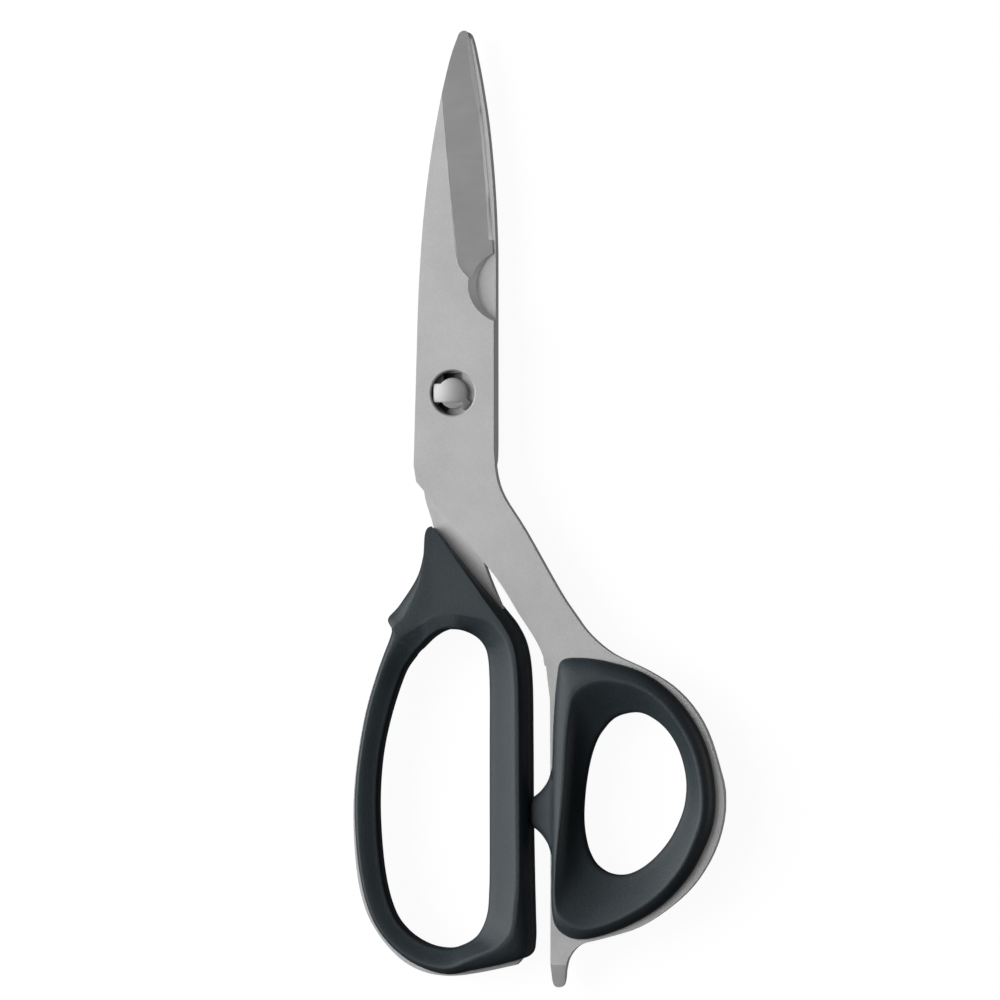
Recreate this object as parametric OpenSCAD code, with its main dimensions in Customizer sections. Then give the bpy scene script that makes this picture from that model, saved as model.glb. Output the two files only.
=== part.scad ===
// Take-apart poultry shears: two stamped blades on a keyed pivot stud, each with a moulded ring grip.
// Millimetres. The origin is on the pivot axis at the rear blade's back face, +Y runs to the tips,
// +Z is the side of the front blade, and the shears are modelled closed.

/* [Blades] */
// Thickness of each blade
blade_t = 3; // [2.6:0.1:3.4]
// Running gap between the two blades
blade_gap = 0.05; // [0.02:0.01:0.1]
// Angle of the wide ground bevel, in degrees
bevel_angle = 16.5; // [14:0.5:17]
// Angle of the fine sharpened edge, in degrees
micro_angle = 42; // [36:1:48]
// Radius of the bone notch
notch_r = 9.3; // [8.5:0.1:10]
// Slope of the bone notch's ground wall, in degrees
notch_slope = 25; // [15:1:30]

/* [Pivot] */
// Radius of the counterbore round the stud head
counterbore_r = 5.3; // [5.2:0.1:5.6]
// Depth of the counterbore
counterbore_d = 1.5; // [1.3:0.1:1.7]
// Radius of the stud's journal
journal_r = 3.6; // [3.3:0.1:3.8]
// Radial running clearance of the journal
journal_clearance = 0.04; // [0.02:0.01:0.08]
// Opening angle at which the key lines up with its slots, in degrees
release_angle = 86; // [80:1:90]

/* [Grips] */
// Height of a grip's crest above the plane where its halves meet
crest_h = 6.5; // [5.5:0.1:7]
// Distance of the crest from the outer edge
crest_d = 3.2; // [2.4:0.1:3.4]
// Height of a grip at the tip of the finger grip's spur
spur_h = 2.8; // [2.4:0.1:4]
// Radius of the dowels that join the halves
dowel_r = 1.1; // [0.8:0.1:1.3]

/* [Hidden] */

steel = [0.70, 0.70, 0.71];
bright_steel = [0.80, 0.80, 0.81];
slate = [0.14, 0.16, 0.17];
soft_black = [0.08, 0.08, 0.08];

// Stud: shank, riveted end and domed top, then the grips' hidden fits
shank_r = 2.6;
rivet_d = 0.9;
dome_r = 16;
relief = 0.2;
dowel_deep = 2.4;

// Directions, reaches and widths of the key's two lobes
key_angle = [180, 318];
key_reach = [4.7, 4.7];
key_w = [4.4, 2.6];

// Bone notch and flat driver
notch_x = 3.7;
notch_y = 25.4;
driver_y = -134.3;
driver_angle = 14;

// Stop bumper and its tongue
bumper_end = 18.8;
bumper_root = 23.9;
bumper_seat = 23.4;
bumper_y = -98.4;
bumper_h = 3.4;
bumper_slope = 25;
tongue_w = 3;
tongue_end = 26;

// Faces of the front blade, and the plane where a grip's halves meet
front_z = blade_t + blade_gap;
front_top = front_z + blade_t;
mid_z = blade_t;

// ---- Curves ----

// Point at u on the span b-c of a smooth curve that also passes a and d
function span(a, b, c, d, u) =
    let (m = (c - a) / 2, n = (d - b) / 2)
    (2 * u ^ 3 - 3 * u ^ 2 + 1) * b + (u ^ 3 - 2 * u ^ 2 + u) * m
    + (3 * u ^ 2 - 2 * u ^ 3) * c + (u ^ 3 - u ^ 2) * n;

// Open smooth curve through p, with n steps to a span
function curve(p, n = 4) =
    let (last = len(p) - 1)
    [for (i = [0:last - 1]) for (k = [0:n - 1])
        span(p[max(i - 1, 0)], p[i], p[i + 1], p[min(i + 2, last)], k / n)];

// Closed smooth curve through p, with n steps to a span
function closed_curve(p, n = 4) =
    let (c = len(p))
    [for (i = [0:c - 1]) for (k = [0:n - 1])
        span(p[(i + c - 1) % c], p[i], p[(i + 1) % c], p[(i + 2) % c], k / n)];

// ---- Outlines of the blades, clockwise ----

spine_front = [[-9.4, -17], [-9.1, -4], [-8.7, 9], [-8.2, 24], [-7.1, 40.5], [-5.4, 54.7],
    [-3.4, 66.5], [-0.9, 78.2], [0.8, 83.6]];
tip_front = [[0.8, 83.6], [1.3, 84.8], [2.3, 85.4], [3.1, 84.9], [3.5, 83.6]];
edge_front = [[3.5, 83.6], [5.2, 73.5], [6.6, 64.1], [7.5, 54.7], [8.3, 45.3], [9.1, 34]];
bend_front = [[9.9, -13], [10.4, -19], [12.2, -24.4], [17.4, -32.5], [25.3, -46.2], [29.2, -52],
    [32.9, -56.8], [38.5, -61.3], [47, -65.3], [54, -70], [59, -77], [62.5, -86.5], [64.9, -95.5],
    [63.2, -105.2], [58.6, -113.8], [52.5, -120], [44.4, -125.3], [36, -128], [30.6, -129.5],
    [27.9, -132.4], [27, -135.6]];
driver_end = [[27, -135.6], [26.85, -137.4], [26.55, -138.7], [25.9, -139.5], [24.7, -139.55],
    [24, -138.8], [23.7, -137.2]];
shank_front = [[23.5, -134], [23.4, -72], [22.2, -63.5], [20.1, -58.3], [16.1, -52.2],
    [10.6, -43.6], [2, -33.4], [-6.9, -23.1], [-8.8, -20.9]];

front_outline = concat(curve(spine_front, 3), curve(tip_front, 3), curve(edge_front, 4),
    [edge_front[5], [9.9, 20]], curve(bend_front, 4), curve(driver_end, 3),
    curve(shank_front, 4), [shank_front[8]]);

spine_rear = [[4.1, 83.1], [4.7, 80.6], [6.1, 73.5], [7.6, 64.1], [8.6, 54.7], [9.3, 45.3],
    [9.7, 35.9], [9.8, 28], [9.8, -12]];
tang_rear = [[9.8, -12], [9.4, -17.5], [6.6, -25], [5.3, -33], [7.3, -41.2], [10.9, -50],
    [14.6, -58], [16.4, -68], [16.7, -80], [16.7, -125], [16.4, -132], [14.6, -134.6]];
ring_rear = [[14.6, -134.6], [6, -136.5], [-1.5, -137.4], [-8, -136.4], [-13.6, -133.3],
    [-18.6, -127.8], [-22, -121.3], [-24, -112], [-24.7, -99], [-23.9, -87.7], [-21.7, -75.2],
    [-18.3, -64.2], [-15.2, -57.5], [-12.6, -54], [-8.6, -47], [-5.4, -38], [-5.2, -32],
    [-7.4, -24.3], [-8.2, -16]];
edge_rear = [[-8.2, -16], [-8.1, -4], [-7.8, 9], [-7.3, 24], [-6.2, 40.5], [-4.5, 54.7],
    [-2.5, 66.5], [0, 78.2], [1.3, 83]];
tip_rear = [[1.3, 83], [1.7, 84.5], [2.5, 85.2], [3.5, 84.6], [4.1, 83.1]];

rear_outline = concat(curve(spine_rear, 3), curve(tang_rear, 4), curve(ring_rear, 4),
    curve(edge_rear, 4), curve(tip_rear, 3));

// Areas that the wide bevels are ground in: past the blades, with a round run-out at the lower end
front_bevel_area = concat([[-12, 95], [20, 95], [20, 20]],
    curve([[9, 24], [5.2, 26.2], [2.4, 28.6], [0.9, 31.8], [0.3, 36]], 4), [[-2, 50], [-12, 50]]);
rear_bevel_area = concat([[-20, 95], [12, 95], [12, 20]],
    curve([[8, 21.4], [3, 24], [0.6, 28.6], [-0.3, 34]], 4), [[-2, 50], [-20, 50]]);

// ---- Outlines of the grips, clockwise, with each point of a hole facing one of the outside ----

finger_out = closed_curve([[-5.4, -31.9], [-3.9, -32.9], [3.9, -42.3], [11.1, -50.6], [14.8, -55.2],
    [17, -60.2], [18, -68], [18.2, -82], [18.3, -98], [18.6, -114], [18.9, -128.6],
    [17.9, -132.1], [13.6, -133.8], [4.8, -135.8], [-1.8, -136.8], [-9.5, -134.3],
    [-15.8, -129.3], [-20.1, -122.3], [-22.6, -112], [-23.6, -99], [-22.9, -87.5],
    [-20.7, -75], [-17.3, -64], [-14.8, -57.6], [-14.4, -55.4], [-15.4, -53.1], [-12.8, -50],
    [-8.6, -43.4], [-7, -37.6], [-6.6, -33]]);
finger_hole = closed_curve([[-2, -55.9], [-0.6, -55.6], [2.4, -55.8], [5, -57], [6.9, -58.9],
    [8, -62], [8.4, -69], [8.4, -82], [8.4, -98], [8.4, -112], [8, -122],
    [6.9, -125.6], [5.2, -128.1], [2.4, -129.8], [-1.2, -130.7], [-6.1, -129.8],
    [-11, -126.8], [-14.6, -121.8], [-17, -112.5], [-18.1, -98.5], [-17.5, -86.4],
    [-15.4, -76.1], [-12.1, -66.3], [-9.4, -62.1], [-8.6, -61], [-7.7, -60.2], [-6.7, -59.2],
    [-5.5, -58], [-4.3, -57.1], [-3.2, -56.4]]);

thumb_out = closed_curve([[26.2, -62.9], [30.6, -62.2], [37, -63], [45.2, -65.4], [51.8, -69.3],
    [57.3, -75.2], [61.3, -83], [63.4, -92], [63.1, -100], [60.9, -106.8], [56.6, -114.1],
    [49.9, -120.2], [41.8, -125], [34.1, -127.7], [29, -128], [25.2, -125.7], [24, -121.5],
    [23.9, -113], [23.9, -103], [23.9, -94], [24.1, -85], [24.4, -76], [25.1, -67]]);
thumb_hole = closed_curve([[35.6, -79.2], [38, -76.6], [41, -75.3], [44.8, -75.1], [48.7, -77],
    [51.9, -80.2], [54.3, -84.8], [55.6, -90.6], [55.3, -96], [53.9, -100.4], [51.5, -104.8],
    [48.2, -108.7], [44.5, -111.6], [40.8, -113], [37, -112.6], [34, -110.6], [32.3, -107.7],
    [31.4, -104.2], [31, -100], [31.2, -95], [31.8, -90], [32.7, -85.6], [34, -81.8]]);

// Unit vector from point i of a grip's outside to the hole, and the width of the ring there
function across(out, hole, i) = (hole[i] - out[i]) / norm(hole[i] - out[i]);
function width(out, hole, i) = norm(hole[i] - out[i]);

// Point i of a line that runs inside a ring at distance d from its outside
function inside(out, hole, i, d) = out[i] + d * across(out, hole, i);

// Edge of the blade's ring inside a grip: half of the way across, or 5 mm short of the hole
function core_edge(out, hole) =
    [for (i = [0:len(out) - 1])
        let (w = width(out, hole, i))
        inside(out, hole, i, max(w - 5, w / 2))];

// Section of half a grip where the ring is w wide, as [distance from outside, share of the height].
// It drops from the crest to the hole over at most the distance funnel.
function section(w, funnel) =
    let (c = min(0.35 * w, crest_d), f = min(funnel, w - c - 0.8))
    [[0, 0], [0, 0.52], [0.25, 0.65], [0.5 * c, 0.83], [0.8 * c, 0.95], [c + 0.3, 1],
        [w - f, 0.98], [w - 0.7 * f, 0.85], [w - 0.4 * f, 0.6], [w - 0.15 * f, 0.34],
        [w, 0.15], [w, 0]];

// Height of a grip's crest at y. The finger grip rises from its spur to its ring, and its back half,
// which has the blade inside it, is never thinner than the least height.
spur_y = -31;
ring_y = -55;
function finger_h(y, least) =
    let (u = max(0, min(1, (spur_y - y) / (spur_y - ring_y))))
    max(least, spur_h + (crest_h - spur_h) * (2 * u - u ^ 2));

finger_funnel = 8;
thumb_funnel = 12;

// Places of the dowels
finger_dowels = [[0, -48], [14.2, -75], [14.2, -115], [-1, -134.2], [-21.8, -100]];
thumb_dowels = [[30, -68], [50, -71.4], [61, -95], [47, -118.4], [28.6, -122]];

// ---- Solids shared by several parts ----

// Faces that join ring a to ring b, each of c points, into a closed wall
function wall(c, a, b) =
    [for (i = [0:c - 1]) let (j = (i + 1) % c)
        each [[a * c + i, b * c + i, b * c + j], [a * c + i, b * c + j, a * c + j]]];

// Faces turned to look the other way where side is -1
function facing(faces, side) =
    side > 0 ? faces : [for (f = faces) [for (i = [len(f) - 1:-1:0]) f[i]]];

// Blade blank between heights z and z + blade_t
module blank(outline, z) {
    translate([0, 0, z])
        linear_extrude(blade_t)
            polygon(outline);
}

// Half of a ring grip, up (side 1) or down (side -1) from the plane where the halves meet. It is
// crest_h high, or where least is given as high as the finger grip's crest there.
module grip_half(out, hole, funnel, side, least = undef) {
    c = len(out);
    sections = [for (i = [0:c - 1]) section(width(out, hole, i), funnel)];
    m = len(sections[0]);
    points = [for (k = [0:m - 1]) for (i = [0:c - 1])
        let (p = inside(out, hole, i, sections[i][k][0]),
            h = is_undef(least) ? crest_h : finger_h(p.y, least))
        [p.x, p.y, mid_z + side * h * sections[i][k][1]]];
    polyhedron(
        points = points,
        faces = facing([for (k = [0:m - 1]) each wall(c, (k + 1) % m, k)], side));
}

// Ring of a blade inside a grip, from height z0 to z1
module core(outline, out, hole, z0, z1) {
    translate([0, 0, z0])
        linear_extrude(z1 - z0)
            difference() {
                polygon(outline);
                polygon(core_edge(out, hole));
            }
}

// Hole in a blade inside a grip's ring
module core_hole(out, hole) {
    translate([0, 0, -1])
        linear_extrude(front_top + 2)
            polygon(core_edge(out, hole));
}

// Two-lobed outline of the stud's key, grown by g
module key_shape(g) {
    circle(r = journal_r + g, $fn = 96);
    for (k = [0, 1])
        rotate(key_angle[k])
            translate([0, -key_w[k] / 2 - g])
                square([key_reach[k] + g, key_w[k] + 2 * g]);
}

// Metal ground off by the wide bevel: it falls away to the right of the line from a to b
module bevel_cut(a, b, area) {
    run = b - a;
    intersection() {
        linear_extrude(20)
            polygon(area);
        translate([a.x, a.y, blade_t])
            rotate(atan2(-run.x, run.y))
                rotate([0, bevel_angle, 0])
                    translate([-20, -60, 0])
                        cube([60, 160, 20]);
    }
}

// Metal ground off by the fine edge along a path that has the blade on its right, on the face
// that looks up (side 1) or down (side -1) from the cutting plane z
module micro_cut(path, z, side) {
    c = len(path);
    land = 0.05;
    rows = [for (i = [0:c - 1])
        let (a = path[max(i - 1, 0)], b = path[min(i + 1, c - 1)], d = (b - a) / norm(b - a))
        [path[i], [-d.y, d.x]]];
    lines = [[-1, land + tan(micro_angle)], [0.3, land - 0.3 * tan(micro_angle)], [2, blade_t]];
    polyhedron(
        points = [for (s = lines) for (r = rows)
            [r[0].x + r[1].x * s.x, r[0].y + r[1].y * s.x, z + side * s.y]],
        faces = facing(concat(
            [for (k = [0:2]) for (i = [0:c - 2])
                let (a = k * c + i, b = ((k + 1) % 3) * c + i)
                each [[a, a + 1, b + 1], [a, b + 1, b]]],
            [[0, c, 2 * c], [3 * c - 1, 2 * c - 1, c - 1]]), side));
}

// Round bars or bores at a list of places
module dowels(places, r, z, h) {
    for (p = places)
        translate([p.x, p.y, z])
            cylinder(r = r, h = h, $fn = 48);
}

// ---- Rear half: the blade with the finger ring ----

module rear_blade() {
    color(steel)
        difference() {
            blank(rear_outline, 0);
            core_hole(finger_out, finger_hole);
            // ground bevel and fine edge on the back
            translate([0, 0, blade_t])
                rotate([0, 180, 0])
                    bevel_cut([-0.4, 30], [-3, 70], rear_bevel_area);
            micro_cut(curve(edge_rear, 4), blade_t, -1);
            // seat of the stud, with the countersink of its riveted end
            translate([0, 0, -1])
                cylinder(r = shank_r, h = blade_t + 2, $fn = 96);
            translate([0, 0, -rivet_d])
                cylinder(r1 = shank_r + 2 * rivet_d, r2 = shank_r, h = 2 * rivet_d, $fn = 96);
            // thinned where the grip covers it
            translate([0, 0, -1])
                linear_extrude(1 + relief)
                    polygon([for (i = [0:len(finger_out) - 1])
                        inside(finger_out, finger_hole, i, -0.12)]);
            dowels(finger_dowels, dowel_r + 0.1, -1, blade_t + 2);
        }
}

module pivot_stud() {
    floor_z = front_top - counterbore_d;
    ledge_z = floor_z + 0.35;
    color(bright_steel) {
        // riveted end, shank, and the journal that the front blade turns on
        rotate_extrude($fn = 96)
            polygon([[0, 0], [shank_r + rivet_d, 0], [shank_r, rivet_d], [shank_r, blade_t],
                [journal_r, blade_t], [journal_r, ledge_z], [0, ledge_z]]);
        // keyed head with a flat along its lower side, domed on top
        intersection() {
            translate([0, 0, floor_z + 0.08])
                linear_extrude(2)
                    difference() {
                        key_shape(-0.02);
                        translate([-6, -6])
                            square([8.2, 6 - key_w[0] / 2]);
                    }
            translate([0, 0, front_top + 0.2 - dome_r])
                sphere(r = dome_r, $fn = 200);
        }
    }
}

module finger_grip_front() {
    color(slate)
        difference() {
            grip_half(finger_out, finger_hole, finger_funnel, 1, 0);
            dowels(finger_dowels, dowel_r, mid_z - 1, 1 + dowel_deep);
        }
}

module finger_grip_back() {
    color(slate)
        difference() {
            // shell round the ring of the rear blade, joined up as one closed surface
            resize([0, 0, 0])
                difference() {
                    grip_half(finger_out, finger_hole, finger_funnel, -1, blade_t + spur_h);
                    core(rear_outline, finger_out, finger_hole, relief, mid_z + 1);
                }
            dowels(finger_dowels, dowel_r, relief - dowel_deep / 2, mid_z + dowel_deep);
        }
}

module finger_grip_dowels() {
    color(bright_steel)
        dowels(finger_dowels, dowel_r, relief - dowel_deep / 2,
            mid_z + dowel_deep - relief + dowel_deep / 2);
}

// ---- Front half: the blade with the thumb ring and the flat driver ----

// Room for the stop bumper's tongue, up to height top
module tongue_notch(top) {
    translate([bumper_end, bumper_y - tongue_w / 2, front_z - 1])
        cube([tongue_end - bumper_end, tongue_w, top - front_z + 1]);
}

module front_blade() {
    color(steel)
        difference() {
            blank(front_outline, front_z);
            core_hole(thumb_out, thumb_hole);
            translate([0, 0, front_z])
                bevel_cut([0.4, 36], [-2.6, 70], front_bevel_area);
            micro_cut(curve(edge_front, 4), front_z, 1);
            // bone notch, ground at a slope
            translate([notch_x + notch_r / cos(notch_slope), notch_y, front_top])
                rotate([0, -notch_slope, 0])
                    cylinder(r = notch_r, h = 24, center = true, $fn = 128);
            // counterbore, and the keyed bore in its floor
            translate([0, 0, front_top - counterbore_d])
                cylinder(r = counterbore_r, h = counterbore_d + 1, $fn = 96);
            translate([0, 0, front_top - 0.3])
                cylinder(r1 = counterbore_r, r2 = counterbore_r + 0.6, h = 0.6, $fn = 96);
            rotate(-release_angle)
                linear_extrude(front_top)
                    key_shape(journal_clearance);
            // flat ground tip of the driver
            translate([20, driver_y, front_top])
                rotate([driver_angle, 0, 0])
                    translate([0, -20, 0])
                        cube([10, 20, 5]);
            dowels(thumb_dowels, dowel_r + 0.1, front_z - 1, blade_t + 2);
            tongue_notch(front_top + 1);
        }
}

// Soft bumper on the left of the thumb ring: it meets the finger grip when the shears are closed.
// Its flared root lies against the grip and its tongue fills a notch in the blade.
module stop_bumper() {
    upper = curve([[bumper_root, -88.1], [23, -91.1], [bumper_end + 0.5, -94.9]], 4);
    lower = curve([[bumper_end + 0.5, -101.9], [22.8, -106.1], [bumper_root, -110.5]], 4);
    rise = bumper_h + (bumper_root - bumper_end) * tan(bumper_slope);
    color(soft_black) {
        difference() {
            intersection() {
                translate([0, 0, mid_z - 10])
                    linear_extrude(20)
                        polygon(concat(upper, [[bumper_end, -95.5], [bumper_end, -101.3]], lower,
                            [[bumper_root, -110.5]]));
                // wedge that widens from the end to the root
                translate([0, 0, mid_z])
                    rotate([90, 0, 0])
                        linear_extrude(130)
                            polygon([[bumper_end - 1, 0], [bumper_end, -bumper_h + 0.8],
                                [bumper_end + 0.8, -bumper_h], [bumper_root, -rise],
                                [bumper_root, rise], [bumper_end + 0.8, bumper_h],
                                [bumper_end, bumper_h - 0.8]]);
            }
            // the edge of the blade's ring
            translate([bumper_seat, -120, front_z])
                cube([2, 40, blade_t]);
        }
        translate([bumper_seat - 1, bumper_y - tongue_w / 2, front_z])
            cube([tongue_end - bumper_seat + 1, tongue_w, blade_t]);
    }
}

module thumb_grip_front() {
    color(slate)
        difference() {
            // shell round the ring of the front blade, joined up as one closed surface
            resize([0, 0, 0])
                difference() {
                    grip_half(thumb_out, thumb_hole, thumb_funnel, 1);
                    core(front_outline, thumb_out, thumb_hole, mid_z - 1, front_top);
                    tongue_notch(front_top);
                }
            dowels(thumb_dowels, dowel_r, front_top - 1, 1 + dowel_deep / 2);
        }
}

module thumb_grip_back() {
    color(slate)
        difference() {
            grip_half(thumb_out, thumb_hole, thumb_funnel, -1);
            dowels(thumb_dowels, dowel_r, mid_z - dowel_deep, dowel_deep + 1);
        }
}

module thumb_grip_dowels() {
    color(bright_steel)
        dowels(thumb_dowels, dowel_r, mid_z - dowel_deep,
            front_top + dowel_deep / 2 - mid_z + dowel_deep);
}

rear_blade();
pivot_stud();
finger_grip_front();
finger_grip_back();
finger_grip_dowels();
front_blade();
thumb_grip_front();
thumb_grip_back();
thumb_grip_dowels();
stop_bumper();
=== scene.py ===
import math

import bmesh
import bpy
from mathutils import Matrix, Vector

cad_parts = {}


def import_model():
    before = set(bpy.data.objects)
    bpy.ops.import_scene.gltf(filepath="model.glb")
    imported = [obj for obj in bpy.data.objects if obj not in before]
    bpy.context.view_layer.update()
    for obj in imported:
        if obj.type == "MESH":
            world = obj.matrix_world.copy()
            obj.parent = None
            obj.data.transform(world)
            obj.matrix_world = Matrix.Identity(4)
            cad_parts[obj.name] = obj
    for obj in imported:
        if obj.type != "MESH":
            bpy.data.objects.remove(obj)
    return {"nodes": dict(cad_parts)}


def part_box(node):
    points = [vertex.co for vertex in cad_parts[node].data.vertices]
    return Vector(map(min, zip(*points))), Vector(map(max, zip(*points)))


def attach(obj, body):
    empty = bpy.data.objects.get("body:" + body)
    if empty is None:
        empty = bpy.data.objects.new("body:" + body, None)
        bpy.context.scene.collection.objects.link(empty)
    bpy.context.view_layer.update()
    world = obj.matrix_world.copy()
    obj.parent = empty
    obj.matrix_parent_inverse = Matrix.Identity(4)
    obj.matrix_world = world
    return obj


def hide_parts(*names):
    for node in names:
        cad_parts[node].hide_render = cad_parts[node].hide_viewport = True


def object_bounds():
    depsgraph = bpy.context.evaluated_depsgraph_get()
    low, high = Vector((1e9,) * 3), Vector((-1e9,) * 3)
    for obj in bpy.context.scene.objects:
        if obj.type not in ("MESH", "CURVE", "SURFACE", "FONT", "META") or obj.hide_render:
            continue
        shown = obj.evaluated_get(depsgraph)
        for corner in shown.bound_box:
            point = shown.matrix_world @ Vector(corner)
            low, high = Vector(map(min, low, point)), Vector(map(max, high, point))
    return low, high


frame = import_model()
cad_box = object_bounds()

MM = 0.001
NODES = frame["nodes"]
# Sizes in mm.
MID_Z = 3.0  # the height where a grip's halves meet
GRIP_HEIGHT = 6.5  # from there to the crest of a ring
SPUR_HEIGHT = 2.8  # and to the top of the finger grip's spur
CHAMFER = 0.55  # on the blades' stamped edges


# ---------------------------------------------------------------- materials

class Shader:
    """A new material's node tree, with a Principled shader and a few shorthands."""

    def __init__(self, name):
        self.material = bpy.data.materials.new(name)
        self.material.use_nodes = True
        self.tree = self.material.node_tree
        self.bsdf = self.tree.nodes["Principled BSDF"]
        self.coords = self.node("ShaderNodeTexCoord").outputs["Object"]

    def node(self, kind, **values):
        made = self.tree.nodes.new(kind)
        for key, value in values.items():
            if key in made.bl_rna.properties:
                setattr(made, key, value)
            else:
                self.feed(made.inputs[key.replace("_", " ")], value)
        return made

    def feed(self, socket, value):
        if isinstance(value, bpy.types.NodeSocket):
            self.tree.links.new(value, socket)
        else:
            socket.default_value = value

    def stretched(self, x, y, z):
        return self.node("ShaderNodeMapping", Vector=self.coords, Scale=(x, y, z)).outputs["Vector"]

    def noise(self, scale, detail, vector=None):
        made = self.node("ShaderNodeTexNoise", Vector=vector or self.coords, Scale=scale,
                         Detail=detail, Roughness=0.6)
        return made.outputs["Fac"]

    def ramp(self, value, low, high, start=0.3, end=0.7):
        """From low to high as the value goes from start to end."""
        made = self.node("ShaderNodeMapRange", Value=value)
        for key, number in (("From Min", start), ("From Max", end), ("To Min", low), ("To Max", high)):
            made.inputs[key].default_value = number
        return made.outputs["Result"]

    def mix(self, factor, a, b):
        made = self.node("ShaderNodeMix", data_type="RGBA")
        self.feed(made.inputs[0], factor)
        self.feed(made.inputs[6], a)
        self.feed(made.inputs[7], b)
        return made.outputs[2]

    def add(self, a, b, operation="ADD"):
        made = self.node("ShaderNodeMath", operation=operation)
        self.feed(made.inputs[0], a)
        self.feed(made.inputs[1], b)
        return made.outputs[0]

    def place(self):
        """X, distance from the pivot axis, and height."""
        split = self.node("ShaderNodeSeparateXYZ", Vector=self.coords)
        x, y = split.outputs["X"], split.outputs["Y"]
        square = self.add(self.add(x, x, "MULTIPLY"), self.add(y, y, "MULTIPLY"))
        return x, self.add(square, 0.5, "POWER"), split.outputs["Z"]

    def painted_recess_shade(self):
        """Painted shade of the recess: darkest in the key's slots, less on the floor of the counterbore,
        and most on the left, where the counterbore's wall keeps the light off."""
        x, radius, z = self.place()
        low = self.ramp(z, 0.55, 0, 3.7 * MM, 5.6 * MM)
        left = self.ramp(x, 0.6, -0.1, -1.5 * MM, 3 * MM)
        deep = self.add(low, left)
        within = self.ramp(radius, 1, 0, 5.2 * MM, 5.5 * MM)
        above_back = self.ramp(z, 0, 1, 2.2 * MM, 2.8 * MM)
        inside = self.add(within, above_back, "MULTIPLY")
        below_front = self.ramp(z, 1, 0, 5.5 * MM, 5.8 * MM)
        return self.add(self.add(inside, below_front, "MULTIPLY"), deep, "MULTIPLY")

    def bump(self, height, distance, strength):
        made = self.node("ShaderNodeBump", Strength=strength, Distance=distance, Height=height)
        self.feed(self.bsdf.inputs["Normal"], made.outputs["Normal"])


def grey(value):
    return (value, value, value, 1)


def steel(name, dark, light, roughness, lines=None, relief=0.45):
    """Stainless steel, between a dark and a light grey. Bead-blasted it is even, with a fine grain and
    a faint cloudiness; with lines, a stretch along X, Y and Z, it shows the marks of grinding or
    shearing. Relief is how far the grain stands out."""
    s = Shader(name)
    cloud = s.noise(90, 4)
    grain = s.noise(1.0, 3, s.stretched(*lines)) if lines else s.noise(2600, 2)
    metal = s.mix(s.add(s.ramp(cloud, 0, 0.5), s.ramp(grain, 0, 0.5)), grey(dark), grey(light))
    # Painted shade: the steel fades to near black in the key's slots and the counterbore round the stud.
    s.feed(s.bsdf.inputs["Base Color"], s.mix(s.painted_recess_shade(), metal, grey(0.015)))
    s.feed(s.bsdf.inputs["Roughness"], s.add(s.ramp(cloud, roughness - 0.03, roughness + 0.03),
                                             s.ramp(grain, -0.03, 0.03)))
    s.bsdf.inputs["Metallic"].default_value = 1.0
    s.bump(grain, 0.03 * MM, relief)
    return s.material


def turned_steel():
    """The stud: smoother, with faint rings from turning round its axis."""
    s = Shader("turned_steel")
    rings = s.node("ShaderNodeTexNoise", noise_dimensions="1D", Scale=1.0, Detail=3.0,
                   W=s.add(s.place()[1], 5200.0, "MULTIPLY")).outputs["Fac"]
    s.feed(s.bsdf.inputs["Base Color"], s.mix(s.ramp(rings, 0, 1), grey(0.38), grey(0.44)))
    s.feed(s.bsdf.inputs["Roughness"], s.ramp(rings, 0.50, 0.58))
    s.bsdf.inputs["Metallic"].default_value = 1.0
    s.bump(rings, 0.01 * MM, 0.3)
    return s.material


def moulded(name, dark, light, roughness, gloss):
    """Spark-textured moulded plastic: a fine pebble grain and a faint cloudiness."""
    s = Shader(name)
    pebbles = s.node("ShaderNodeTexVoronoi", Vector=s.coords, Scale=2300.0,
                     feature="SMOOTH_F1").outputs["Distance"]
    grain = s.noise(1500, 3)
    cloud = s.noise(70, 4)
    tint = s.add(s.ramp(cloud, 0, 0.6), s.ramp(grain, 0, 0.4))
    s.feed(s.bsdf.inputs["Base Color"], s.mix(tint, dark, light))
    s.feed(s.bsdf.inputs["Roughness"], s.add(s.ramp(cloud, roughness - 0.03, roughness + 0.03),
                                             s.ramp(grain, -0.04, 0.04)))
    s.bsdf.inputs["Specular IOR Level"].default_value = gloss
    s.bump(s.add(pebbles, grain), 0.06 * MM, 0.55)
    return s.material


STEEL = steel("blasted_steel", 0.44, 0.57, 0.52)
GROUND = steel("ground_steel", 0.82, 0.88, 0.44, (160, 2600, 160))
SHEARED = steel("sheared_steel", 0.84, 0.94, 0.84, (400, 400, 3000), relief=0.2)
EASED = steel("eased_steel", 0.62, 0.70, 0.80, relief=0.12)
HONED = steel("honed_steel", 0.62, 0.68, 0.50, (2400, 300, 300))
# The blades' finishes from flat to wall, each with the least upright part, up or down, of the normals
# of its faces.
FINISHES = ((STEEL, 0.985), (GROUND, 0.8), (HONED, 0.73), (EASED, 0.6), (SHEARED, 0))
STUD = turned_steel()
PLASTIC = moulded("grip_plastic", (0.026, 0.037, 0.045, 1), (0.042, 0.057, 0.066, 1), 0.50, 0.4)
RUBBER = moulded("bumper_rubber", (0.030, 0.041, 0.049, 1), (0.052, 0.068, 0.077, 1), 0.58, 0.25)


# ---------------------------------------------------------------- mesh helpers

def make(name, mesh, body, slot, *nodes):
    """A piece that rides on the body and stands for the nodes. The slot is not used."""
    made = bpy.data.objects.new(name, mesh)
    bpy.context.scene.collection.objects.link(made)
    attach(made, body)
    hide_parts(*nodes)
    return made


def welded(node):
    """The node's mesh in a new bmesh, with flat areas merged into single faces."""
    bm = bmesh.new()
    bm.from_mesh(NODES[node].data)
    bmesh.ops.remove_doubles(bm, verts=bm.verts, dist=1e-7)
    bmesh.ops.dissolve_limit(bm, angle_limit=math.radians(0.4), verts=bm.verts, edges=bm.edges)
    return bm


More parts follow.
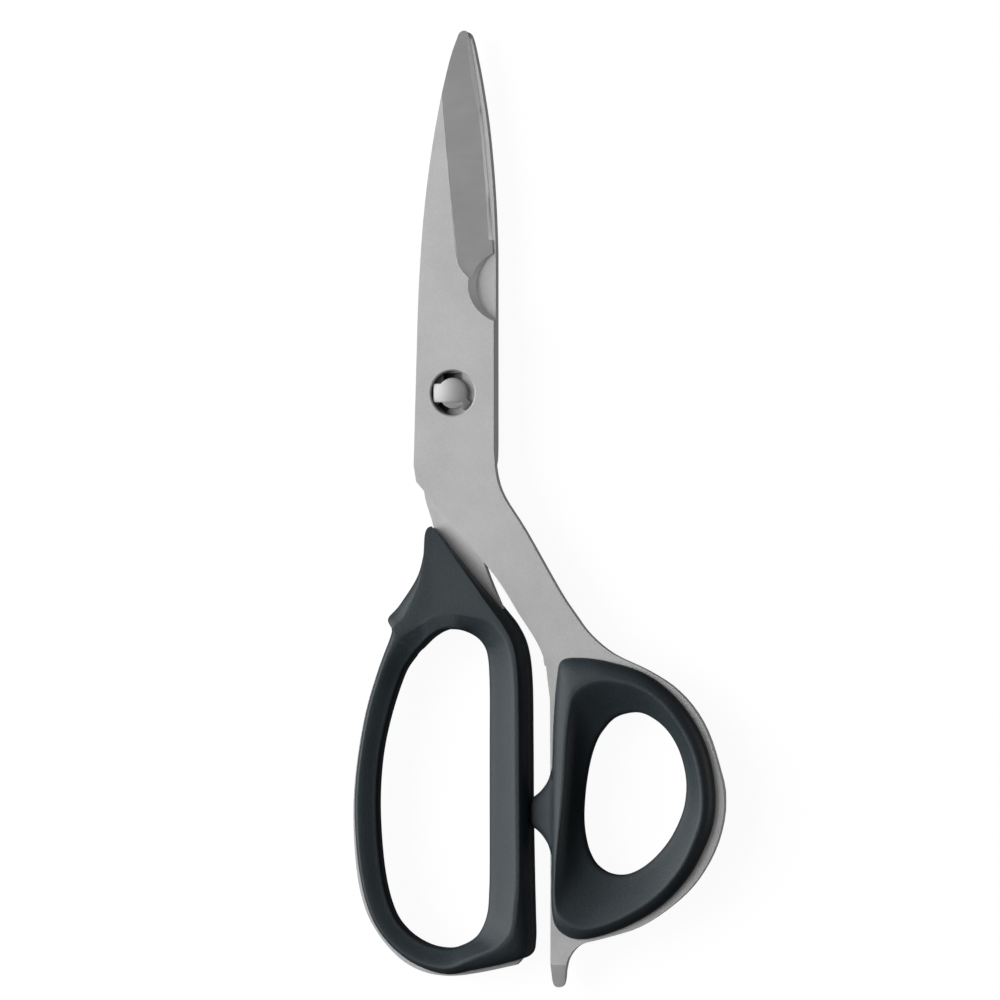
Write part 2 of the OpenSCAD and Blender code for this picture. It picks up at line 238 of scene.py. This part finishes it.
def corners(bm):
    """The edges where two faces meet at more than 40 degrees."""
    return [e for e in bm.edges if len(e.link_faces) == 2 and math.degrees(e.calc_face_angle(0.0)) > 40]


def bevel(bm, edges, width, segments):
    bmesh.ops.bevel(bm, geom=edges, offset=width * MM, offset_type="OFFSET", segments=segments,
                    profile=0.5, affect="EDGES", clamp_overlap=True)


def finished(name, bm, degrees, *materials):
    """The bmesh as a mesh with these materials, smooth where its faces meet at less than the angle."""
    mesh = bpy.data.meshes.new(name)
    bm.to_mesh(mesh)
    bm.free()
    for material in materials:
        mesh.materials.append(material)
    for face in mesh.polygons:
        face.use_smooth = True
    mesh.set_sharp_from_angle(angle=math.radians(degrees))
    return mesh


def loft(name, rows, closed, material):
    """A mesh through rows of points. Closed, its last row joins the first; else its ends are faces."""
    bm = bmesh.new()
    verts = [[bm.verts.new(p) for p in row] for row in rows]
    n = len(verts[0])
    following = verts[1:] + verts[:1] if closed else verts[1:]
    for a, b in zip(verts, following):
        for k in range(n):
            bm.faces.new((a[k], a[(k + 1) % n], b[(k + 1) % n], b[k]))
    if not closed:
        bm.faces.new(verts[0])
        bm.faces.new(verts[-1])
    bmesh.ops.recalc_face_normals(bm, faces=bm.faces)
    return finished(name, bm, 50, material)


# ---------------------------------------------------------------- blades

def fill_out(bm):
    """The front blade's ring is fuller at its upper right, and the neck runs smoothly into the ring's
    left side."""
    ring_low, ring_long, swell = -95.5, 25.5, 0.78
    neck_low, neck_long, filling = -69, 6, 0.6
    for v in bm.verts:
        x = v.co.x / MM
        up_ring = (v.co.y / MM - ring_low) / ring_long
        up_neck = (v.co.y / MM - neck_low) / neck_long
        if x > 50 and 0 < up_ring < 1:
            v.co.x = min(cad_box[1].x, v.co.x + swell * MM * math.sin(math.pi * up_ring))
        if 20 < x < 26 and 0 < up_neck < 1:
            v.co.x -= filling * MM * math.sin(math.pi * up_neck ** 1.5)


def blade(node, body, fine_edge, reshape=None):
    """The blade with its stamped edges broken by a chamfer. fine_edge(point) is true along the
    cutting edge, which stays keen."""
    bm = welded(node)
    if reshape:
        reshape(bm)
    edges = []
    for e in corners(bm):
        flat = any(abs(f.normal.z) > 0.999 for f in e.link_faces)
        wall = any(abs(f.normal.z) < 0.02 for f in e.link_faces)
        if flat and wall and not fine_edge((e.verts[0].co + e.verts[1].co) / 2 / MM):
            edges.append(e)
    bevel(bm, edges, CHAMFER, 1)
    for f in bm.faces:
        f.material_index = sum(abs(f.normal.z) < least for finish, least in FINISHES)
    mesh = finished(node, bm, 14, *(finish for finish, least in FINISHES))
    return make("blade_" + node.split("_")[0], mesh, body, "blade_steel", node)


# The front blade is keen from its bone notch up, and the rear one along its left side.
front_steel = blade("front_blade", "front_half", lambda p: p.y > 14, fill_out)
rear_steel = blade("rear_blade", "rear_half", lambda p: p.y > -16 and p.x < 3)


# ---------------------------------------------------------------- stud and dowels

def eased(node, body, name, width):
    """The turned steel node with its corners rounded over the width."""
    bm = welded(node)
    bevel(bm, corners(bm), width, 2)
    return make(name, finished(name, bm, 25, STUD), body, "stud_steel", node)


eased("pivot_stud", "rear_half", "stud", 0.12)
eased("finger_grip_dowels", "rear_half", "finger_dowels", 0.15)
eased("thumb_grip_dowels", "front_half", "thumb_dowels", 0.15)


# ---------------------------------------------------------------- grips

def between(four, u):
    """Point at u between the middle two of four points, on a smooth curve through them all."""
    return [(2 * u**3 - 3 * u**2 + 1) * q + (u**3 - 2 * u**2 + u) * (r - p) / 2
            + (3 * u**2 - 2 * u**3) * r + (u**3 - u**2) * (s - q) / 2 for p, q, r, s in zip(*four)]


def curve_point(points, i, u):
    """Point at u on the span from i of the closed smooth curve through points."""
    n = len(points)
    return between([points[(i + k) % n] for k in (-1, 0, 1, 2)], u)


def open_curve(points, steps):
    """Smooth curve through points, with that many steps to a span."""
    last = len(points) - 1
    made = []
    for i in range(last):
        four = [points[k] for k in (max(i - 1, 0), i, i + 1, min(i + 2, last))]
        made += [between(four, k / steps) for k in range(steps)]
    return made + [list(points[last])]


def section(width, wall, rise, fall, rim, peak=1.0):
    """Half section of a ring: (distance from the outside, share of the height). The wall goes up to
    share wall of the peak, the edge rounds over to the crest from rise to fall, and the surface then
    drops to the rim of the hole: evenly, or, where the crest is wide, in a rounding."""
    left = 1 - wall
    shoulder = [(0.13 * rise, wall + 0.40 * left), (0.45 * rise, wall + 0.74 * left),
                (0.78 * rise, wall + 0.93 * left)]
    lip_width = 0.45
    wide_crest, widest_crest = 8.6, 12.6
    run = width - lip_width - fall
    bend = 1 + 1.2 * min(1, max(0, (fall - wide_crest) / (widest_crest - wide_crest)))
    drop = [(fall + 0.25 * run, 1 - 0.26 ** bend * (1 - rim)),
            (fall + 0.75 * run, 1 - 0.78 ** bend * (1 - rim))]
    lip = [(width - lip_width, rim), (width - 0.12, rim - 0.09), (width, rim - 0.2), (width, 0.04)]
    line = open_curve([(0, 0.45 * wall), (0, wall), *shoulder, (rise, 1), (fall, 0.985), *drop, *lip], 4)
    return [(d, min(1, share * peak)) for d, share in line]


def ring(name, body, stations, height, back_height, back_rim, *nodes):
    """A moulded ring grip, lofted round its hole in one piece, with the mould's parting line in the
    middle. A station is (outside x, y, hole x, y), and then the shape for section(). height(y) and
    back_height(y) are the crests' heights, and the back's rim is back_rim times as high as the
    front's."""
    steps = 10
    groove = 0.14  # depth of the parting line in mm
    parting = 0.03  # and its half width, as a share of the height
    least_rim = 0.24
    rings = []
    for i in range(len(stations)):
        for k in range(steps):
            ox, oy, hx, hy, wall, rise, fall, rim, *peak = curve_point(stations, i, k / steps)
            out, hole = Vector((ox, oy)), Vector((hx, hy))
            width = (hole - out).length
            across = (hole - out) / width
            front = [(groove, 0), (0, parting)] + section(width, wall, rise, fall, rim, *peak)
            rim = max(least_rim, rim * back_rim)
            back = section(width, wall, rise, fall, rim, *peak)
            back = [(width - groove, 0)] + back[::-1] + [(0, parting)]
            points = []
            for side, top, some in ((1, height, front), (-1, back_height, back)):
                for d, share in some:
                    at = out + across * d
                    points.append((at.x * MM, at.y * MM, (MID_Z + side * share * top(at.y)) * MM))
            rings.append(points)
    return make(name, loft(name, rings, True, PLASTIC), body, "grip_plastic", *nodes)


def crest_height(y, least=0.0):
    """The finger grip rises from its spur to its ring."""
    spur_tip, length = -31, 24
    u = max(0.0, min(1.0, (spur_tip - y) / length))
    return max(least, SPUR_HEIGHT + (GRIP_HEIGHT - SPUR_HEIGHT) * (2 * u - u * u))


# Stations clockwise from the spur's tip: outside x, y, hole x, y, wall, rise, fall, rim and peak.
FINGER = [
    (-5.4, -31.9, -2, -55.9, 0.76, 0.9, 19.4, 0.92, 1),
    (-3.9, -32.9, -0.6, -55.6, 0.72, 1.0, 18.1, 0.92, 1), (3.9, -42.3, 2.4, -55.8, 0.72, 1.0, 9.2, 0.86, 1),
    (11.1, -50.6, 5, -57, 0.68, 1.2, 3.6, 0.60, 1), (14.8, -55.2, 6.9, -58.9, 0.56, 1.5, 2.8, 0.42, 1),
    (17, -60.2, 8, -62, 0.48, 1.6, 2.8, 0.30, 1), (18, -68, 8.4, -69, 0.44, 1.7, 2.8, 0.26, 1),
    (18.2, -82, 8.4, -82, 0.44, 1.7, 2.8, 0.26, 1), (18.3, -98, 8.4, -98, 0.44, 1.7, 2.8, 0.26, 1),
    (18.6, -114, 8.4, -112, 0.44, 2.0, 3.0, 0.26, 1), (18.8, -121.6, 8.3, -117.5, 0.45, 2.8, 3.9, 0.28, 1),
    (18.9, -128.6, 8, -122, 0.46, 4.2, 5.2, 0.31, 1), (17.9, -132.1, 6.9, -125.6, 0.48, 5.4, 6.4, 0.36, 1),
    (13.6, -133.8, 5.2, -128.1, 0.50, 4.3, 5.2, 0.42, 0.97),
    (4.8, -135.8, 2.4, -129.8, 0.54, 2.2, 2.9, 0.52, 0.90),
    (-1.8, -136.8, -1.2, -130.7, 0.60, 1.5, 2.1, 0.62, 0.82),
    (-9.5, -134.3, -6.1, -129.8, 0.64, 1.1, 1.6, 0.68, 0.76),
    (-15.8, -129.3, -11, -126.8, 0.66, 1.0, 1.5, 0.72, 0.72),
    (-20.1, -122.3, -14.6, -121.8, 0.68, 1.0, 1.5, 0.73, 0.71),
    (-22.6, -112, -17, -112.5, 0.68, 1.0, 1.5, 0.73, 0.71),
    (-23.6, -99, -18.1, -98.5, 0.68, 1.0, 1.5, 0.73, 0.71),
    (-22.9, -87.5, -17.5, -86.4, 0.68, 1.0, 1.5, 0.73, 0.71),
    (-20.7, -75, -15.4, -76.1, 0.68, 1.0, 1.5, 0.72, 0.74),
    (-17.3, -64, -12.1, -66.3, 0.66, 1.1, 1.7, 0.70, 0.84),
    (-14.8, -57.6, -9.4, -62.1, 0.64, 1.4, 2.4, 0.70, 0.94),
    (-14.4, -55.4, -8.6, -61, 0.62, 1.7, 3.2, 0.72, 1),
    (-15.4, -53.1, -7.7, -60.2, 0.54, 3.0, 5.6, 0.74, 1),
    (-12.8, -50, -6.7, -59.2, 0.50, 3.4, 6.6, 0.80, 1), (-8.6, -43.4, -5.5, -58, 0.48, 3.2, 10.2, 0.86, 1),
    (-7, -37.6, -4.3, -57.1, 0.50, 2.6, 14.8, 0.90, 1), (-6.6, -33, -3.2, -56.4, 0.62, 1.4, 18.5, 0.92, 1)]

# Stations clockwise from the upper left corner: outside x, y, hole x, y, wall, rise, fall and rim.
THUMB = [
    (26.2, -62.9, 35.6, -79.2, 0.50, 7.4, 8.6, 0.24), (30.6, -62.2, 38, -76.6, 0.52, 5.8, 6.9, 0.24),
    (37, -63, 41, -75.3, 0.56, 4.1, 5.0, 0.26), (45.2, -65.4, 44.8, -75.1, 0.60, 3.2, 3.9, 0.30),
    (51.6, -69.6, 48.7, -77, 0.60, 2.8, 3.4, 0.36), (56.9, -75.6, 51.9, -80.2, 0.58, 2.6, 3.2, 0.40),
    (60.8, -83.1, 54.3, -84.8, 0.56, 2.5, 3.1, 0.42), (62.7, -91.8, 55.6, -90.6, 0.56, 2.5, 3.1, 0.42),
    (62.5, -99.8, 55.3, -96, 0.56, 2.5, 3.1, 0.40), (60.3, -106.4, 53.9, -100.4, 0.56, 2.5, 3.1, 0.38),
    (56.2, -113.7, 51.5, -104.8, 0.58, 2.5, 3.1, 0.34), (49.9, -120.2, 48.2, -108.7, 0.60, 2.6, 3.2, 0.28),
    (41.8, -125, 44.5, -111.6, 0.60, 2.7, 3.4, 0.24), (34.1, -127.7, 40.8, -113, 0.58, 2.8, 3.5, 0.24),
    (29, -128, 37, -112.6, 0.54, 3.0, 3.8, 0.24), (25.2, -125.7, 34, -110.6, 0.52, 3.0, 3.7, 0.24),
    (24, -121.5, 32.3, -107.7, 0.52, 2.4, 3.0, 0.24), (23.9, -113, 31.4, -104.2, 0.54, 2.2, 2.7, 0.24),
    (23.9, -103, 31, -100, 0.54, 2.4, 2.9, 0.24), (23.9, -94, 31.2, -95, 0.54, 2.9, 3.5, 0.24),
    (24.1, -85, 31.8, -90, 0.54, 3.7, 4.4, 0.24), (24.4, -76, 32.7, -85.6, 0.54, 5.0, 5.8, 0.24),
    (25.1, -67, 34, -81.8, 0.52, 6.7, 7.7, 0.24)]

ring("finger_grip", "rear_half", FINGER, crest_height, lambda y: crest_height(y, 5.8), 0.42,
     "finger_grip_front", "finger_grip_back")
thumb_ring = ring("thumb_grip", "front_half", THUMB, lambda y: GRIP_HEIGHT, lambda y: GRIP_HEIGHT, 1,
                  "thumb_grip_front", "thumb_grip_back")


def bumper():
    """The soft stop: a flared lug that runs out of the thumb grip's bevel to a blunt end. A row of its
    shape is x, half the length along y and half the height."""
    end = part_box("stop_bumper")[0].x / MM
    root, middle = 26.2, -98.5
    around, squareness = 64, 0.45
    shape = open_curve([(end, 2.6, 2.5), (end + 0.15, 3.25, 3.05), (end + 0.6, 3.75, 3.4),
                        (end + 1.6, 4.5, 3.9), (end + 2.8, 5.7, 4.45), (end + 4.2, 7.8, 5.1),
                        (end + 5.1, 10.6, 5.5)], 4)
    shape.append((root, 10.6, 5.2))
    rows = []
    for x, half_y, half_z in shape:
        row = []
        for k in range(around):
            a = 2 * math.pi * k / around
            c, s = math.cos(a), math.sin(a)
            row.append((x * MM, (middle + half_y * math.copysign(abs(c) ** squareness, c)) * MM,
                        (MID_Z + half_z * math.copysign(abs(s) ** squareness, s)) * MM))
        rows.append(row)
    return make("bumper", loft("bumper", rows, False, RUBBER), "front_half", "bumper_rubber", "stop_bumper")


bumper()


# ---------------------------------------------------------------- stage

def floor():
    """A plain pale floor. It takes shadows but throws no light back up."""
    gap = 0.02 * MM
    bpy.ops.mesh.primitive_grid_add(x_subdivisions=2, y_subdivisions=2, size=12,
                                    location=(0, 0, cad_box[0].z - gap))
    made = bpy.context.object
    made.name = "floor"
    s = Shader("floor_paint")
    s.feed(s.bsdf.inputs["Base Color"], s.mix(s.noise(8, 3), grey(0.10), grey(0.12)))
    s.bsdf.inputs["Roughness"].default_value = 0.9
    s.bsdf.inputs["Specular IOR Level"].default_value = 0.1
    s.bsdf.inputs["Emission Color"].default_value = (1, 1, 1, 1)
    s.bsdf.inputs["Emission Strength"].default_value = 0.95
    made.data.materials.append(s.material)
    made.visible_diffuse = False
    made.visible_glossy = False


def softbox(name, place, size, radiance, matt=True):
    """A rectangular light that faces the pivot; place and size are in metres. Without matt it only
    shows in reflections."""
    light = bpy.data.lights.new(name, "AREA")
    light.shape = "RECTANGLE"
    light.size, light.size_y = size
    light.energy = radiance * math.pi * size[0] * size[1]
    made = bpy.data.objects.new(name, light)
    bpy.context.scene.collection.objects.link(made)
    made.location = place
    made.rotation_euler = (Vector() - Vector(place)).to_track_quat("-Z", "Y").to_euler()
    made.visible_camera = False
    made.visible_diffuse = matt
    return made


def only_on(light, *receivers):
    """Lets a light fall on the receivers alone."""
    group = bpy.data.collections.new(light.name + "_receivers")
    for made in receivers:
        group.objects.link(made)
    light.light_linking.receiver_collection = group


def camera():
    """Looks at the shears from 12 degrees to the right of straight on, from far away."""
    lens = bpy.data.cameras.new("camera")
    lens.lens = 250
    lens.sensor_width = 36
    lens.clip_start, lens.clip_end = 0.01, 20
    made = bpy.data.objects.new("camera", lens)
    bpy.context.scene.collection.objects.link(made)
    tilt = math.radians(12)
    target = Vector((11.41, -25.19, 6.0)) * MM
    view_width = 235 * MM
    distance = view_width * lens.lens / lens.sensor_width
    made.location = target + distance * Vector((math.sin(tilt), 0, math.cos(tilt)))
    made.rotation_euler = (0, tilt, 0)
    bpy.context.scene.camera = made


def world(strength):
    """An even light from all round."""
    made = bpy.data.worlds.new("studio")
    bpy.context.scene.world = made
    made.use_nodes = True
    made.node_tree.nodes["Background"].inputs["Color"].default_value = (1, 1, 1, 1)
    made.node_tree.nodes["Background"].inputs["Strength"].default_value = strength


floor()
world(0.05)
softbox("key", (-1.35, 0.2, 0.72), (1.5, 2.2), 3.7)
softbox("top", (-0.45, 0.1, 2.0), (2.0, 2.6), 0.40, matt=False)
only_on(softbox("fill", (1.4, 0.1, 0.05), (1.4, 0.12), 8.0, matt=False), thumb_ring)
only_on(softbox("rim", (1.4, 0.0, 0.25), (0.4, 1.4), 3.2, matt=False), front_steel, rear_steel)
camera()
bpy.context.scene.view_settings.view_transform = "Standard"
